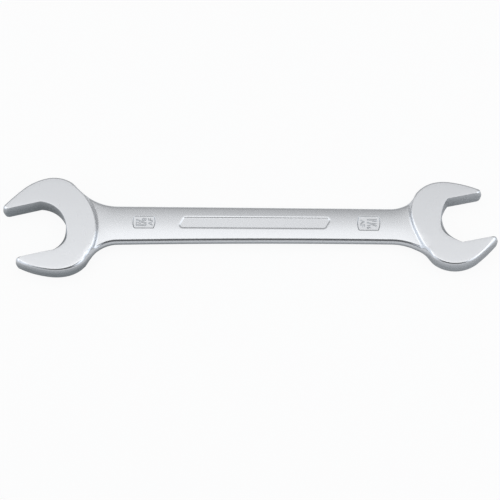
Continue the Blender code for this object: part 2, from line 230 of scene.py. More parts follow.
STEP_IN = 3.6 * MM
RECESS_ROWS = (-3.6, -2.8, -2.0, -1.4, -1.0, -0.7, -0.35, 0.0, 0.35, 0.7, 1.0, 1.4)  # in slopes
BATCH = 1000  # points worked on at a time
SAME_POINT_MM = 1e-6  # nearer than this, two points of a plan are one
WELD_DISTANCE = 0.001 * MM

# Camera: a long lens from above the near side, a little to the right, the picture turned a little
AIMED_POINT = Vector((5.458, 2.472, 8.2)) * MM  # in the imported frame, near the wrench's middle
IMAGE_PX = 500
SENSOR_MM = 36.0
FOCAL_PX = 2518.4
CAMERA_DISTANCE = 2160.7 * MM
CAMERA_ELEVATION = math.radians(64.0)
CAMERA_AZIMUTH = math.radians(6.771)
CAMERA_ROLL = math.radians(-5.71)
CAMERA_FAR = 30.0
AIM_RIGHT_PX = 5.0  # how far the aimed point lies right of the picture's middle
AIM_UP_PX = 24.0

# Floor, room and lights
WHITE = (1.0, 1.0, 1.0, 1.0)
FLOOR_SIZE = 12.0
FLOOR_COLOUR = (0.82, 0.82, 0.82, 1.0)
BACKDROP_SHARE = 0.92  # of the floor that shows as plain white to the eye
MIRRORED_NEAR_SHARE = 0.14  # of the floor that shows as plain white in the metal, beside the wrench, where less white paints shade into its reflections over the paper's real shadow
MIRRORED_FAR_SHARE = 0.75  # the same away from it
NEAR_FLOOR = 0.04  # from the wrench's middle line
FAR_FLOOR = 0.2
AXIS_LENGTH = 0.34  # of the line that both are measured from
WORLD_COLOUR = (0.15, 0.155, 0.16, 1.0)
PLAIN_LIGHT = (1.0, 1.0, 1.0)
COOL_LIGHT = (0.86, 0.92, 1.0)

# A soft overhead light that fades to a dim wall at the back, a cool window at each side, and a lamp
# by the right one, which brightens the near lower back of the large head. Each has the place of its
# middle, the place that it faces, and its width and height
Softbox = namedtuple("Softbox", "name place target size radiance colour")
SOFTBOXES = (
    Softbox("top_softbox", (0, 0.05, 1.0), (0, 0.05, 0), (2.0, 0.75), 1.16, PLAIN_LIGHT),
    Softbox("back_softbox", (0, 0.4925, 1.0), (0, 0.4925, 0), (2.0, 0.135), 0.70, PLAIN_LIGHT),
    Softbox("rear_softbox", (0, 0.62, 1.0), (0, 0.62, 0), (2.0, 0.12), 0.86, PLAIN_LIGHT),
    Softbox("large_head_softbox", (-0.36, 0.48, 1.0), (-0.36, 0.48, 0), (0.36, 0.2), 1.05, PLAIN_LIGHT),
    Softbox("back_wall", (0, 2.0, 1.5), (0, 0, 1.5), (10.0, 3.0), 0.3, PLAIN_LIGHT),
    Softbox("left_window", (-1.1, -0.45, 0.65), (0, -0.45, 0), (2.0, 1.2), 0.97, COOL_LIGHT),
    Softbox("right_window", (1.1, -0.45, 0.65), (0, -0.45, 0), (2.0, 1.2), 0.97, COOL_LIGHT),
    Softbox("right_lamp", (1.05, -0.5, 0.65), (0, 0, 0), (0.8, 0.9), 0.4, COOL_LIGHT),
)

# Finish of the chrome, with painted shade on its walls, plate sides and figures
FACE_COLOUR = (0.70, 0.71, 0.73, 1.0)
# Painted shade: the walls' darker colour stands in for their dim reflection of the shadowed floor;
# their plating is the same as the faces'
WALL_SHADE_COLOUR = (0.25, 0.27, 0.285, 1.0)
UPPER_WALL_SHADE_SHARE = 0.5  # of the painted wall shade that shows at its upper end, so the walls are darker towards the parting line
SHANK_WALL_SHADE_SHARE = 0.2  # of the painted wall shade that shows on the shank's sides above the parting line
WALL_RUN = 25.0 * MM  # along the flank, from a head's wall to the shank's side, over which the painted wall shade changes
UPPER_FADE = 30  # power that ends the painted wall shade early in the turn of an upper edge
LOWER_FADE = 2  # the same for a lower edge
FIGURE_TOP_SHADE_SHARE = 0.5  # of the painted wall shade that shows on top of the size figures
CLOUD_COLOUR = (0.60, 0.615, 0.64, 1.0)
CLOUD_SHARE = 0.12
Grain = namedtuple("Grain", "scale detail roughness")  # scale in cycles per metre along X, Y and Z
CLOUD = Grain((90.0, 140.0, 90.0), 3, 0.5)
SPECKLE = Grain((1100.0, 1100.0, 1100.0), 4, 0.6)
GRINDING = Grain((1300.0, 45.0, 400.0), 3, 0.6)
SHANK_ROUGHNESS = 0.27
GROUND_ROUGHNESS = 0.30
EDGE_ROUGHNESS = 0.18
ROUGHNESS_RANGE = 0.13
BUMP_STRENGTH = 0.032
BUMP_DISTANCE = 0.05 * MM


def added(name, data):
    """A new object in the scene with this data."""
    obj = bpy.data.objects.new(name, data)
    bpy.context.scene.collection.objects.link(obj)
    return obj


def add_camera():
    """The photograph's view."""
    cos_e, sin_e = math.cos(CAMERA_ELEVATION), math.sin(CAMERA_ELEVATION)
    cos_a, sin_a = math.cos(CAMERA_AZIMUTH), math.sin(CAMERA_AZIMUTH)
    back = Vector((sin_a * cos_e, -cos_a * cos_e, sin_e))
    level_right = Vector((cos_a, sin_a, 0))
    level_up = back.cross(level_right)
    cos_r, sin_r = math.cos(CAMERA_ROLL), math.sin(CAMERA_ROLL)
    right = cos_r * level_right + sin_r * level_up
    up = -sin_r * level_right + cos_r * level_up
    per_px = CAMERA_DISTANCE / FOCAL_PX
    place = AIMED_POINT + CAMERA_DISTANCE * back
    place = place - AIM_RIGHT_PX * per_px * right - AIM_UP_PX * per_px * up
    data = bpy.data.cameras.new("camera")
    data.sensor_width = SENSOR_MM
    data.lens = SENSOR_MM * FOCAL_PX / IMAGE_PX
    data.clip_end = CAMERA_FAR
    camera = added("camera", data)
    camera.matrix_world = Matrix.Translation(place) @ Matrix((right, up, back)).transposed().to_4x4()
    bpy.context.scene.camera = camera


def shader_tree(owner):
    """An empty node tree on a material or world."""
    owner.use_nodes = True
    tree = owner.node_tree
    tree.nodes.clear()
    return tree


def show(tree, kind, shader):
    """Joins a shader node to a new output node of the tree."""
    out = tree.nodes.new(kind)
    tree.links.new(shader.outputs[0], out.inputs["Surface"])


def feed(tree, socket, value):
    """Gives a socket its value, which is a constant or another node's socket."""
    if isinstance(value, bpy.types.NodeSocket):
        tree.links.new(value, socket)
    else:
        socket.default_value = value


def calculated(tree, operation, *values):
    """The result of a calculation with constants or sockets."""
    node = tree.nodes.new("ShaderNodeMath")
    node.operation = operation
    for socket, value in zip(node.inputs, values):
        feed(tree, socket, value)
    return node.outputs[0]


def mixed(tree, kind, share, first, second):
    """A mix of two values or colours, each a constant or a socket, by a share socket."""
    node = tree.nodes.new("ShaderNodeMix")
    node.data_type = kind
    sockets = [socket for socket in node.inputs if socket.enabled]
    for socket, value in zip(sockets, (share, first, second)):
        feed(tree, socket, value)
    return [socket for socket in node.outputs if socket.enabled][0]


def mixed_shaders(tree, share, first, second):
    """A mix of two shader nodes by a share socket."""
    mix = tree.nodes.new("ShaderNodeMixShader")
    tree.links.new(share, mix.inputs[0])
    tree.links.new(first.outputs[0], mix.inputs[1])
    tree.links.new(second.outputs[0], mix.inputs[2])
    return mix


def mirrored_share(tree):
    """How much plain white the floor shows in a mirror, which grows away from the wrench's axis, so
    that the metal mirrors a painted shade round the wrench over the paper's real shadow.
    """
    place = tree.nodes.new("ShaderNodeTexCoord")
    split = tree.nodes.new("ShaderNodeSeparateXYZ")
    tree.links.new(place.outputs["Object"], split.inputs[0])
    beyond = calculated(tree, "ABSOLUTE", split.outputs["X"])
    beyond = calculated(tree, "SUBTRACT", beyond, AXIS_LENGTH / 2)
    along = calculated(tree, "MAXIMUM", beyond, 0)
    across = split.outputs["Y"]
    square = calculated(tree, "MULTIPLY", along, along)
    square = calculated(tree, "ADD", square, calculated(tree, "MULTIPLY", across, across))
    away = tree.nodes.new("ShaderNodeMapRange")
    tree.links.new(calculated(tree, "SQRT", square), away.inputs["Value"])
    away.inputs["From Min"].default_value = NEAR_FLOOR
    away.inputs["From Max"].default_value = FAR_FLOOR
    away.inputs["To Min"].default_value = MIRRORED_NEAR_SHARE
    away.inputs["To Max"].default_value = MIRRORED_FAR_SHARE
    return away.outputs["Result"]


def backdrop_share(tree):
    """How much plain white the floor shows to the eye, and in a mirror or a glass."""
    rays = tree.nodes.new("ShaderNodeLightPath").outputs
    eye = calculated(tree, "MULTIPLY", rays["Is Camera Ray"], BACKDROP_SHARE)
    mirror = calculated(tree, "MAXIMUM", rays["Is Glossy Ray"], rays["Is Transmission Ray"])
    return calculated(tree, "MAXIMUM", eye, calculated(tree, "MULTIPLY", mirror, mirrored_share(tree)))


def floor_paper():
    """White paper that keeps a soft shadow."""
    material = bpy.data.materials.new("floor_paper")
    tree = shader_tree(material)
    paper = tree.nodes.new("ShaderNodeBsdfDiffuse")
    paper.inputs["Color"].default_value = FLOOR_COLOUR
    white = tree.nodes.new("ShaderNodeEmission")
    white.inputs["Color"].default_value = WHITE
    show(tree, "ShaderNodeOutputMaterial", mixed_shaders(tree, backdrop_share(tree), paper, white))
    return material


def add_floor():
    """A square of paper under the wrench."""
    data = bpy.data.meshes.new("floor")
    half = FLOOR_SIZE / 2
    corners = [(-half, -half, 0), (half, -half, 0), (half, half, 0), (-half, half, 0)]
    data.from_pydata(corners, [], [(0, 1, 2, 3)])
    data.materials.append(floor_paper())
    floor = added("floor", data)


def add_world():
    """A dim even room that shows as plain white behind the floor."""
    world = bpy.data.worlds.new("studio")
    bpy.context.scene.world = world
    tree = shader_tree(world)
    room = tree.nodes.new("ShaderNodeBackground")
    room.inputs["Color"].default_value = WORLD_COLOUR
    white = tree.nodes.new("ShaderNodeBackground")
    white.inputs["Color"].default_value = WHITE
    eye = tree.nodes.new("ShaderNodeLightPath").outputs["Is Camera Ray"]
    show(tree, "ShaderNodeOutputWorld", mixed_shaders(tree, eye, room, white))


def add_softbox(box):
    """A rectangular soft light whose face has the given radiance."""
    width, height = box.size
    data = bpy.data.lights.new(box.name, "AREA")
    data.shape = "RECTANGLE"
    data.size = width
    data.size_y = height
    data.energy = box.radiance * math.pi * width * height
    data.color = box.colour
    light = added(box.name, data)
    light.location = box.place
    facing = (Vector(box.place) - Vector(box.target)).to_track_quat("Z", "Y")
    light.rotation_euler = facing.to_matrix().to_euler()


def chords(radius, sweep):
    """How many chords keep an arc within ARC_TOLERANCE and below LONGEST_CHORD."""
    step = 2 * math.acos(1 - min(ARC_TOLERANCE / radius, 1))
    return max(1, math.ceil(abs(sweep) / min(step, LONGEST_CHORD / radius)))


def arc(centre, radius, start, end, count=None):
    """Points of an arc in the plane, both ends included."""
    turns = np.linspace(start, end, (count or chords(radius, end - start)) + 1)
    return np.stack((centre[0] + radius * np.cos(turns), centre[1] + radius * np.sin(turns)), axis=1)


def cheek_arcs(head, cheek, inset, jaw_inset, nose):
    """The arcs of one side of a head on +v: the nose from its end on the jaw flat, the jaw, the
    cheek to the widest place, and the shoulder. Each is (centre, radius, start, end)."""
    across = math.pi / 2
    turn = across - cheek.cheek_turn
    cheek_centre = np.array((-cheek.station, cheek.half_width - cheek.cheek))
    shoulder_centre = np.array((-cheek.station, cheek.half_width - cheek.shoulder))
    jaw_centre = cheek_centre + (cheek.cheek - cheek.jaw) * np.array((math.cos(turn), math.sin(turn)))
    jaw_radius = cheek.jaw - inset
    nose_v = head.flats / 2 + jaw_inset + nose
    nose_reach = math.sqrt((jaw_radius - nose) ** 2 - (nose_v - jaw_centre[1]) ** 2)
    to_nose = np.array((nose_reach, nose_v - jaw_centre[1]))
    jaw_start = math.atan2(to_nose[1], to_nose[0])
    return [
        (jaw_centre + to_nose, nose, -across, jaw_start),
        (jaw_centre, jaw_radius, jaw_start, turn),
        (cheek_centre, cheek.cheek - inset, turn, across),
        (shoulder_centre, cheek.shoulder - inset, across, across + cheek.shoulder_turn),
    ]


def cheek_side(head, hand, inset=0, jaw_inset=0, nose=None):
    """One side of a head, from its nose back to its shoulder's end."""
    cheek = head.upper if hand == head.side else head.lower
    parting = cheek_arcs(head, cheek, 0, 0, head.nose)
    moved = cheek_arcs(head, cheek, inset, jaw_inset, nose or head.nose)
    points = []
    for (_, radius, start, end), bend in zip(parting, moved):
        points.append(arc(*bend, chords(radius, end - start)))
    side = np.concatenate([points[0]] + [more[1:] for more in points[1:]])
    return side * (1, hand)


def to_tool(head, points):
    """Points of a head's own frame, placed in the tool's frame."""
    cos_a, sin_a = math.cos(head.angle), math.sin(head.angle)
    u, v = head.reach + points[:, 0], points[:, 1]
    x = HEAD_SPACING / 2 + u * cos_a - v * sin_a
    return head.side * np.stack((x, u * sin_a + v * cos_a), axis=1)


def head_chain(head, height, inset):
    """The outline of a head at one height, from its -v shoulder round the jaw to its +v shoulder."""
    above = min(max(height - HEAD_THICKNESS / 2 + JAW_EDGE_RADIUS, 0), JAW_EDGE_RADIUS)
    jaw_inset = JAW_EDGE_RADIUS - math.sqrt(JAW_EDGE_RADIUS**2 - above**2)
    nose = head.nose + NOSE_ROUNDING * (2 * height / HEAD_THICKNESS) ** 2
    first = cheek_side(head, 1, inset, jaw_inset, nose)
    last = cheek_side(head, -1, inset, jaw_inset, nose)[::-1]
    half = head.flats / 2 + jaw_inset
    radius = head.throat + jaw_inset
    last_corner = math.asin(min((half + head.throat_offset) / radius, 1)) - math.pi
    first_corner = -math.asin(min((half - head.throat_offset) / radius, 1)) - math.pi
    throat_chords = chords(head.throat, THROAT_SWEEP)
    throat = arc((0, head.throat_offset), radius, last_corner, first_corner, throat_chords)
    lower_flat = np.linspace(last[-1], throat[0], FLAT_CHORDS + 1)[1:-1]
    upper_flat = np.linspace(throat[-1], first[0], FLAT_CHORDS + 1)[1:-1]
    return to_tool(head, np.concatenate((last, lower_flat, throat, upper_flat, first)))


def in_head(head, points):
    """Points of the tool's frame, seen in a head's own frame."""
    cos_a, sin_a = math.cos(head.angle), math.sin(head.angle)
    x, y = (head.side * points - (HEAD_SPACING / 2, 0)).T
    return x * cos_a + y * sin_a - head.reach, y * cos_a - x * sin_a


def back_curve(head):
    """The back of a head between its shoulders, tangent to both, from +v to -v."""
    first, last = cheek_side(head, 1), cheek_side(head, -1)
    start, end = first[-1], last[-1]
    pull = head.back_share * np.linalg.norm(end - start)
    start_way, end_way = start - first[-2], end - last[-2]
    handle_a = start + pull * start_way / np.linalg.norm(start_way)
    handle_b = end + pull * end_way / np.linalg.norm(end_way)
    t = np.linspace(0, 1, BACK_CHORDS + 1)[:, None]
    first_half = (1 - t) ** 3 * start + 3 * (1 - t) ** 2 * t * handle_a
    return to_tool(head, first_half + 3 * (1 - t) * t**2 * handle_b + t**3 * end)


# A neck leaves the flank at its start, bends by an arc up to its slope and ends at a shoulder
Neck = namedtuple("Neck", "start radius slope end end_height")


def straight_flank(x, hand):
    """How far the flank lies from the axis between the necks."""
    large, middle, small = UPPER_FLANK if hand > 0 else LOWER_FLANK
    along = 2 * x / HEAD_SPACING
    return middle + (small - large) / 2 * along + ((large + small) / 2 - middle) * along**2


def neck(head, hand):
    """How the flank on the +Y or -Y side runs into a shoulder: an arc tangent to the flank, then
    the straight line that leaves the shoulder's end."""
    cheek = head.upper if hand > 0 else head.lower
    slope = cheek.shoulder_turn + hand * head.side * head.angle
    end = to_tool(head, cheek_side(head, hand * head.side)[-1:])[0]
    end_place, end_height = head.side * end[0], hand * end[1]
    centre_height = straight_flank(head.side * HEAD_SPACING / 2, hand) + cheek.neck
    fall = (centre_height - end_height) * math.cos(slope) - cheek.neck
    return Neck(end_place + fall / math.sin(slope), cheek.neck, slope, end_place, end_height)


NECKS = {head.side: {hand: neck(head, hand) for hand in (1, -1)} for head in (LARGE, SMALL)}


def flank(x, hand):
    """How far the flank on one side lies from the axis at each x."""
    height = straight_flank(x, hand)
    for side, arcs in NECKS.items():
        bend = arcs[hand]
        into = side * x - bend.start
        bent = height + bend.radius - np.sqrt(np.maximum(bend.radius**2 - into**2, 0))
        line = bend.end_height - np.maximum(bend.end - side * x, 0) * math.tan(bend.slope)
        neck_height = np.where(into < bend.radius * math.sin(bend.slope), bent, line)
        height = np.where(into > 0, neck_height, height)
    return height


def half_thickness(x):
    """Half the thickness of the shank's edge, which grows in the necks."""
    half = np.full_like(x, SHANK_EDGE_THICKNESS / 2)
    for side, arcs in NECKS.items():
        start = min(bend.start for bend in arcs.values())
        end = max(bend.end for bend in arcs.values())
        rise = np.clip((side * x - start) / (end - start), 0, 1) ** 2
        half += rise * (NECK_EDGE_THICKNESS - SHANK_EDGE_THICKNESS) / 2
    return half


def running(points):
    """The length along a row of points up to each of them."""
    return np.concatenate(([0], np.cumsum(np.linalg.norm(np.diff(points, axis=0), axis=1))))


def flank_curve(hand):
    """The flank at the parting line from shoulder to shoulder, with evenly spaced points."""
    low, high = -NECKS[-1][hand].end, NECKS[1][hand].end
    x = np.linspace(low, high, FLANK_SAMPLES + 1)
    run = running(np.stack((x, flank(x, hand)), axis=1))
    even = np.linspace(0, run[-1], FLANK_CHORDS + 1)
    x = np.interp(even, run, x)
    return np.stack((x, hand * flank(x, hand)), axis=1)


def inside_distance(points, curve):
    """How far each point lies to the left of a curve: positive inside a counter-clockwise one."""
    start, way = curve[:-1], np.diff(curve, axis=0)
    span = (way**2).sum(axis=1)
    result = np.empty(len(points))
    for low in range(0, len(points), BATCH):
        part = points[low:low + BATCH, None, :] - start
        share = np.clip((part * way).sum(axis=2) / span, 0, 1)
        gap = part - share[..., None] * way
        distance = np.hypot(gap[..., 0], gap[..., 1])
        nearest = distance.argmin(axis=1)
        row = np.arange(len(nearest))
        turn = way[nearest, 0] * gap[row, nearest, 1] - way[nearest, 1] * gap[row, nearest, 0]
        result[low:low + BATCH] = np.sign(turn) * distance[row, nearest]
    return result


def smooth_share(value):
    """A soft step from 0 to 1."""
    share = np.clip(value, 0, 1)
    return share * share * (3 - 2 * share)


def shank_edge(half, radius):
    """Height of the bulged side at half a thickness and an edge radius, its inset at that height,
    and the inset of the centre of the rounded edge."""
    side_height = half - radius * (1 - math.sin(SHANK_SIDE_LEAN))
    bulge = side_height * math.tan(SHANK_SIDE_LEAN) / 2
    return side_height, bulge, bulge + radius * math.cos(SHANK_SIDE_LEAN)


_, SHANK_SIDE_BULGE, SHANK_EDGE_CENTRE = shank_edge(SHANK_EDGE_THICKNESS / 2, SHANK_EDGE_RADIUS)

# How steeply the crown starts, and how far inside the parting line
CROWN_TURN = math.atan(4 * SHANK_CROWN / (UPPER_FLANK[1] + LOWER_FLANK[1] - 2 * SHANK_EDGE_CENTRE))
CROWN_START = SHANK_EDGE_CENTRE - SHANK_EDGE_RADIUS * math.sin(CROWN_TURN)


def shank_edge_radius(points):
    """The radius of the shank's edge near each point, which grows towards the near shoulders."""
    radius = np.full(len(points), SHANK_EDGE_RADIUS)
    for side, arcs in NECKS.items():
        end = (side * arcs[-1].end, -arcs[-1].end_height)
        away = np.linalg.norm(points - end, axis=1)
        radius += JUNCTION_EDGE * np.exp(-(away / JUNCTION_EDGE_RUN) ** 2)
    return radius


def edge_radius(points):
    """The radius of the heads' outer edge near each point, which grows at their near lower back
    and round the outside of the near noses."""
    radius = np.full(len(points), HEAD_EDGE_RADIUS)
    for head in (LARGE, SMALL):
        away = points - to_tool(head, np.zeros((1, 2)))
        turn = np.arctan2(-away[:, 1], -head.side * away[:, 0])
        swell = np.exp(-((turn - FULLER_PLACE) / FULLER_SPREAD) ** 2 / 2)
        radius += FULLER_EDGE * swell * (head.side * points[:, 0] > 0)
        u, v = in_head(head, points)
        tip = cheek_arcs(head, head.lower, 0, 0, head.nose)[0][0][0] + head.nose
        outside = smooth_share((-head.side * v - head.flats / 2) / (2 * head.nose))
        radius += NOSE_EDGE * outside * np.exp(-((u - tip) / NOSE_EDGE_RUN) ** 2)
    return radius


def edge_form(radius):
    """Height of a head's wall, and the inset of its edge arc's centre, for an edge radius."""
    wall = HEAD_THICKNESS / 2 - radius
    return wall, wall * HEAD_DRAFT + radius


def head_height(inside, radius):
    """Height of a head's surface at a distance inside its parting line."""
    wall_height, centre = edge_form(radius)
    wall = np.maximum(inside, 0) / HEAD_DRAFT
    across = np.clip(centre - inside, 0, radius)
    edge = wall_height + np.sqrt(radius**2 - across**2)
    return np.where(wall < wall_height, wall, edge)


def shank_height(points, inside):
    """Height of the shank's surface: bulged side, rounded edge and crowned top."""
    x, y = points.T
    half = half_thickness(x)
    radius = shank_edge_radius(points)
    side_height, bulge, centre = shank_edge(half, radius)
    side = side_height * np.sqrt(np.clip(inside / bulge, 0, 1))
    across = np.clip(centre - inside, radius * math.sin(CROWN_TURN), radius * math.cos(SHANK_SIDE_LEAN))
    edge = half - radius + np.sqrt(radius**2 - across**2)
    lines = []
    for hand in (1, -1):
        height = flank(x, hand)
        lean = (flank(x + NUDGE, hand) - flank(x - NUDGE, hand)) / (2 * NUDGE)
        lines.append(hand * (height - CROWN_START * np.sqrt(1 + lean**2)))
    middle, reach = (lines[0] + lines[1]) / 2, (lines[0] - lines[1]) / 2
    crown = SHANK_CROWN * np.maximum(1 - ((y - middle) / reach) ** 2, 0)
    return np.where(inside < bulge, side, edge + crown)


def joined_height(points):
    """Height of the forging's upper surface, with a fillet where a head's back stands on the shank."""
    edges = [inside_distance(points, flank_curve(1)[::-1]), inside_distance(points, flank_curve(-1))]
    inside = np.minimum(*edges)
    height = shank_height(points, inside)
    for head in (LARGE, SMALL):
        outline = np.concatenate((
            to_tool(head, cheek_side(head, 1)),
            back_curve(head)[1:-1],
            to_tool(head, cheek_side(head, -1)[::-1]),
        ))
        into = inside_distance(points, outline)
        edge = edge_radius(points)
        wall_height, edge_centre = edge_form(edge)
        radius = np.clip(STEP_FILLET_SHARE * inside, LEAST_FILLET, STEP_FILLET)
        centre_z = height + radius
        rise = np.maximum(centre_z - wall_height, 0)
        reach = np.sqrt(np.maximum((edge + radius) ** 2 - rise**2, 0))
        on_wall = centre_z < wall_height
        centre = np.where(on_wall, centre_z * HEAD_DRAFT - radius, edge_centre - reach)
        touch = centre + np.where(on_wall, radius, reach * radius / (edge + radius))
        fillet = centre_z - np.sqrt(np.maximum(radius**2 - (into - centre) ** 2, 0))
        raised = np.where(into < touch, fillet, head_height(into, edge))
        height = np.where(into > centre, np.maximum(raised, height), height)
    return height


def rounded_outline(corners, radius):
    """A closed counter-clockwise polygon with every corner rounded."""
    corners = [np.array(c) for c in corners]
    outline = []
    for i, corner in enumerate(corners):
        before = corners[i - 1] - corner
        after = corners[(i + 1) % len(corners)] - corner
        before, after = before / np.linalg.norm(before), after / np.linalg.norm(after)
        half_angle = math.acos(float(before @ after)) / 2
        way = (before + after) / np.linalg.norm(before + after)
        centre = corner + way * radius / math.sin(half_angle)
        first = corner + before * radius / math.tan(half_angle) - centre
        last = corner + after * radius / math.tan(half_angle) - centre
        start = math.atan2(first[1], first[0])
        sweep = (math.atan2(last[1], last[0]) - start) % (2 * math.pi)
        outline.append(arc(centre, radius, start, start + sweep))
    return np.concatenate(outline)


def panel_outline():
    """A long parallelogram whose ends lean back towards the large head at the lower edge."""
    end, lean, edge = PANEL_LENGTH / 2, PANEL_SKEW / 2, PANEL_WIDTH / 2
    corners = [(-end - lean, -edge), (end - lean, -edge), (end + lean, edge), (-end + lean, edge)]
    return rounded_outline(corners, PANEL_CORNER_RADIUS) + PANEL_CENTRE


def mark_outline(place, width):
    """A stamped plate with straight long sides and bulged ends."""
    half = width / 2
    radius = (half**2 + MARK_BULGE**2) / (2 * MARK_BULGE)
    turn = math.asin(half / radius)
    reach = MARK_LENGTH / 2 + MARK_BULGE - radius
    right = arc((place + reach, MARK_Y), radius, -turn, turn)
    left = arc((place - reach, MARK_Y), radius, math.pi - turn, math.pi + turn)
    return np.concatenate((right, left))


def closed(outline):
    """The points of an outline with its first one again at the end."""
    return np.concatenate((outline, outline[:1]))


def closed_rows(outline, offsets):
    """Evenly spaced points along lines parallel to a closed outline."""
    loop = closed(outline)
    run = running(loop)
    even = np.linspace(0, run[-1], math.ceil(run[-1] / BAND_STEP) + 1)[:-1]
    centre = np.stack([np.interp(even, run, loop[:, i]) for i in (0, 1)], axis=1)
    way = np.roll(centre, -1, axis=0) - np.roll(centre, 1, axis=0)
    inward = np.stack((-way[:, 1], way[:, 0]), axis=1) / np.linalg.norm(way, axis=1)[:, None]
    return np.concatenate([centre + offset * inward for offset in offsets])


def recess_side(points, recess):
    """How far each point lies inside a recess's outline, and how far down its side, from 0 to 1."""
    into = inside_distance(points, closed(recess.outline))
    return into, smooth_share((into + RECESS_SLOPE) / (2 * RECESS_SLOPE))


def recessed(points, height, recesses):
    """The height with the recesses sunk into it."""
    for recess in recesses:
        into, side = recess_side(points, recess)
        lip = smooth_share((into + LIP_REACH) / (LIP_REACH + RECESS_SLOPE))
        share = side + recess.lip_share * (lip - side)
        height = height * (1 - share) + np.minimum(height, SHANK_FACE - recess.depth) * share
    return height


def recess_steepness(points, recesses):
    """How steeply each point lies on the side of a recess, from 0 to 1."""
    sides = [recess_side(points, recess)[1] for recess in recesses]
    return sum(4 * side * (1 - side) for side in sides)


def ring_form(level, radius):
    """Height and inset of a ring on a head whose edge has the given radius, and how far the
    ring has turned from the wall to the face."""
    wall, centre = edge_form(radius)
    if level < WALL_STRIPS:
        height = wall * level / WALL_STRIPS
        return height, height * HEAD_DRAFT, 0
    turn = math.pi / 2 * (level - WALL_STRIPS) / EDGE_STRIPS
    return wall + radius * math.sin(turn), centre - radius * math.cos(turn), turn


def shank_inset(level):
    """Inset of a ring on the plain shank."""
    if level < WALL_STRIPS:
        return SHANK_SIDE_BULGE * (level / WALL_STRIPS) ** 2
    sweep = math.pi / 2 - CROWN_TURN - SHANK_SIDE_LEAN
    turn = SHANK_SIDE_LEAN + sweep * (level - WALL_STRIPS) / EDGE_STRIPS
    return SHANK_EDGE_CENTRE - SHANK_EDGE_RADIUS * math.cos(turn)


def inward_ways(curve):
    """Unit vectors to the left of a curve at its points."""
    way = np.gradient(curve, axis=0)
    return np.stack((-way[:, 1], way[:, 0]), axis=1) / np.linalg.norm(way, axis=1)[:, None]


def ring(level):
    """One closed ring round the whole forging, counter-clockwise, as (x, y, z) rows."""
    parts = []
    height, inset, _ = ring_form(level, HEAD_EDGE_RADIUS)
    for head, hand in ((SMALL, 1), (LARGE, -1)):
        parting = head_chain(head, 0, 0)
        full_height, full_inset, _ = ring_form(level, edge_radius(parting))
        plan = head_chain(head, height, inset)
        plan = plan + inward_ways(parting) * (full_inset - inset)[:, None]
        parts.append(np.column_stack((plan, full_height)))
        curve = flank_curve(hand)
        if hand > 0:
            curve = curve[::-1]
        run = running(curve)
        share = smooth_share(np.minimum(run, run[-1] - run) / JUNCTION_RUN)
        start = ring_form(level, edge_radius(curve))[1]
        in_by = start + (shank_inset(level) - start) * share
        plan = (curve + inward_ways(curve) * in_by[:, None])[1:-1]
        z = joined_height(plan) if level else np.zeros(len(plan))
        parts.append(np.column_stack((plan, z)))
    return np.concatenate(parts)


def wall_shade_shares():
    """How much painted wall shade shows above and below the parting line, round the forging, and
    whether a place lies on the flats or the throat of a jaw."""
    above = []
    below = []
    jaw = []
    for head, other, hand in ((SMALL, LARGE, 1), (LARGE, SMALL, -1)):
        chain = np.full(len(head_chain(head, 0, 0)), head.wall_share)
        within = np.zeros(len(chain))
        within[len(cheek_side(head, -1)):len(chain) - len(cheek_side(head, 1))] = 1
        run = running(flank_curve(hand))
        shank = smooth_share(np.minimum(run, run[-1] - run) / WALL_RUN)
        side = head.wall_share + (other.wall_share - head.wall_share) * run / run[-1]
        below += [chain, side[1:-1]]
        # Painted shade: above the parting line the shank's sides keep less of it
        above += [chain, (side + (SHANK_WALL_SHADE_SHARE - side) * shank)[1:-1]]
        jaw += [within, np.zeros(len(run) - 2)]
    return np.concatenate(above), np.concatenate(below), np.concatenate(jaw)


def inside_loop(points, loop):
    """Whether each point lies inside a closed loop."""
    ends = np.roll(loop, -1, axis=0)
    result = np.empty(len(points), dtype=bool)
    for low in range(0, len(points), BATCH):
        x, y = points[low:low + BATCH, None, 0], points[low:low + BATCH, None, 1]
        crosses = (loop[:, 1] > y) != (ends[:, 1] > y)
        rise = np.where(ends[:, 1] == loop[:, 1], 1, ends[:, 1] - loop[:, 1])
        at = loop[:, 0] + (y - loop[:, 1]) * (ends[:, 0] - loop[:, 0]) / rise
        result[low:low + BATCH] = (crosses & (x < at)).sum(axis=1) % 2 == 1
    return result


def apart_from(points, others, gap):
    """The points that lie further than a gap from all the others."""
    keep = np.empty(len(points), dtype=bool)
    for low in range(0, len(points), BATCH):
        part = points[low:low + BATCH, None, :] - others
        keep[low:low + BATCH] = (part**2).sum(axis=2).min(axis=1) > gap**2
    return points[keep]


def grid(low, high, step):
    """Points in rows that are offset by half a step, over a rectangle."""
    rows = []
    for i, y in enumerate(np.arange(low[1], high[1], step * math.sqrt(3) / 2)):
        x = np.arange(low[0] + (i % 2) * step / 2, high[0], step)
        rows.append(np.column_stack((x, np.full(len(x), y))))
    return np.concatenate(rows)


